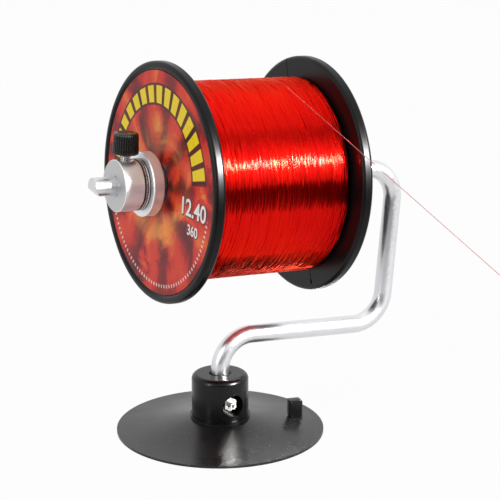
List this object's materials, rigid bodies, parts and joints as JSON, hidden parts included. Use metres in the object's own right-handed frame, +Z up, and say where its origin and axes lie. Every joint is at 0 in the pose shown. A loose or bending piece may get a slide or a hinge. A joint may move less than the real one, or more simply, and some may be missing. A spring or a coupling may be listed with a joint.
{
  "type": "fishing line winder",
  "caption": "Bulk fishing line spool turning on a cranked metal rod, braked by friction washers and a locking collar, standing on a suction cup",
  "frame": {"origin": "middle of the suction cup's sealing face, on the axis of the hub and of the rod's foot", "axes": "+Z up from the surface that the cup stands on; the crank lies in the YZ plane with the shaft's free end towards -Y and the upright towards +Y; the free line leaves towards +X"},
  "size_m": [0.2358, 0.1531, 0.1671],
  "materials": {
    "rubber_black": "matt moulded rubber",
    "hub_plastic": "smooth black plastic",
    "spool_plastic": "black moulded plastic",
    "core_plastic": "black moulded plastic",
    "knob_plastic": "ribbed black plastic",
    "rod_aluminium": "satin drawn",
    "turned_aluminium": "fine turned",
    "steel": "bright zinc plated",
    "fibre_dark": "pressed fibre",
    "line_red": "clear red monofilament",
    "tail_line": "single strand of monofilament",
    "label_print": "printed card"
  },
  "bodies": {
    "base": {"suction_cup": "rubber_black", "cup_stud": "steel", "base_hub": "hub_plastic", "hub_retaining_screw": "steel", "hub_lock_nut": "steel"},
    "arm": {"arm_rod": "rod_aluminium", "rear_stop_collar": "turned_aluminium", "rear_stop_screw": "steel", "rear_friction_washer": "fibre_dark", "fibre_washer_1": "fibre_dark", "steel_washer_1": "steel", "fibre_washer_2": "fibre_dark", "steel_washer_2": "steel", "fibre_washer_3": "fibre_dark", "line_tail": "tail_line", "line_tail_knot": "tail_line"},
    "spool": {"spool_core": "core_plastic", "spool_front_flange": "spool_plastic", "spool_rear_flange": "spool_plastic", "front_label": "label_print", "line_winding": "line_red", "line_top_layer": "line_red", "front_cone": "turned_aluminium", "rear_cone": "turned_aluminium"},
    "collar": {"locking_collar": "turned_aluminium"},
    "thumb_screw": {"thumb_screw": "steel"},
    "thumb_knob": {"thumb_knob": "knob_plastic"}
  },
  "joints": [
    {"name": "arm_swivel", "type": "hinge", "parent": "base", "child": "arm", "pos_m": [0, 0, 0.02], "axis": [0, 0, 1], "continuous": true},
    {"name": "spool_spin", "type": "hinge", "parent": "arm", "child": "spool", "pos_m": [0, 0, 0.1142], "axis": [0, -0.9977, 0.068], "continuous": true},
    {"name": "collar_slide", "type": "slide", "parent": "arm", "child": "collar", "axis": [0, -0.9977, 0.068], "range_m": [0, 0.0105]},
    {"name": "screw_travel", "type": "slide", "parent": "collar", "child": "thumb_screw", "axis": [0, 0.068, 0.9977], "range_m": [0, 0.0014]},
    {"name": "thumb_turn", "type": "hinge", "parent": "thumb_screw", "child": "thumb_knob", "pos_m": [0, -0.04515, 0.11728], "axis": [0, 0.068, 0.9977], "range_deg": [0, 720]}
  ],
  "couplings": [
    {"joint": "thumb_turn", "follows": "screw_travel", "rad_per_m": 8976}
  ]
}
